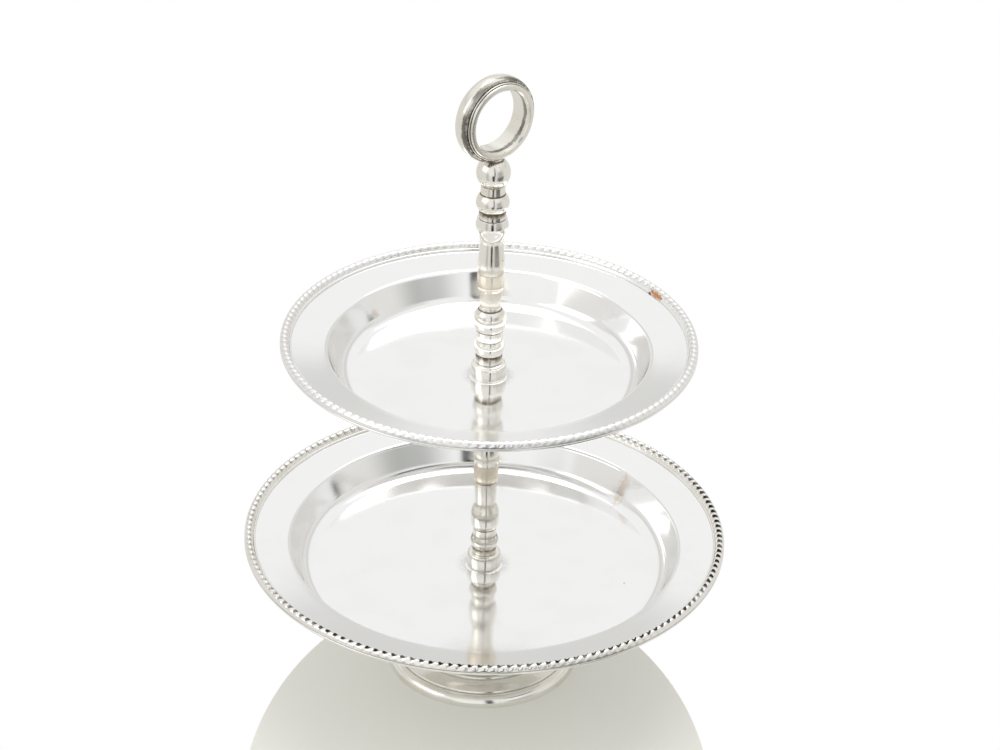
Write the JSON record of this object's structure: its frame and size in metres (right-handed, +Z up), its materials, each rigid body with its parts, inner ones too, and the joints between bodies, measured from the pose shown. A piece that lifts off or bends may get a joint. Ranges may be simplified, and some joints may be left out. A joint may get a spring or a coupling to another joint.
{
  "type": "tiered cake stand",
  "caption": "Two-tier polished metal cake stand with beaded plates on a turned column, a spun foot and a ring handle.",
  "frame": {"origin": "centre of the foot's underside, on the surface the stand rests on", "axes": "+Z up along the tie rod; the ring handle's bore runs along Y, so its faces look along +Y and -Y"},
  "size_m": [0.28, 0.28, 0.3757],
  "materials": {
    "silver_plate": "polished silver plate with fine concentric wear",
    "silver_border": "polished silver plate, darker in the hollows",
    "silver_foot": "polished silver plate with light tarnish",
    "silver_column": "polished silver plate, slightly warm",
    "silver_warm": "worn silver plate with the base metal showing through",
    "silver_ring": "cast silver plate with tarnished grooves",
    "steel": "plain bright steel"
  },
  "bodies": {
    "stand": {"foot_shell": "silver_foot", "foot_washer": "steel", "foot_nut": "steel", "tie_rod": "steel", "lower_base_collar": "silver_column", "lower_baluster": "silver_column", "lower_joint_ring": "silver_warm", "lower_vase": "silver_column", "plate_bearer": "silver_column", "upper_base_collar": "silver_column", "upper_baluster": "silver_column", "upper_joint_ring": "silver_warm", "upper_vase": "silver_column"},
    "lower_tier": {"lower_plate": "silver_plate", "lower_plate_border": "silver_border"},
    "upper_tier": {"upper_plate": "silver_plate", "upper_plate_border": "silver_border"},
    "handle_thread": {"handle_insert": "steel"},
    "handle": {"handle_sleeve": "silver_column", "handle_ball": "silver_column", "handle_ring": "silver_ring"}
  },
  "joints": [
    {"name": "lower_plate_turn", "type": "hinge", "parent": "stand", "child": "lower_tier", "pos_m": [0, 0, 0.0634], "axis": [0, 0, 1], "continuous": true},
    {"name": "upper_plate_turn", "type": "hinge", "parent": "stand", "child": "upper_tier", "pos_m": [0, 0, 0.1916], "axis": [0, 0, 1], "continuous": true},
    {"name": "handle_rise", "type": "slide", "parent": "stand", "child": "handle_thread", "axis": [0, 0, 1], "range_m": [0, 0.0101]},
    {"name": "handle_unscrew", "type": "hinge", "parent": "handle_thread", "child": "handle", "pos_m": [0, 0, 0.2919], "axis": [0, 0, 1], "range_deg": [0, 3600]}
  ],
  "couplings": [
    {"joint": "handle_rise", "follows": "handle_unscrew", "m_per_rad": 0.00015915}
  ]
}
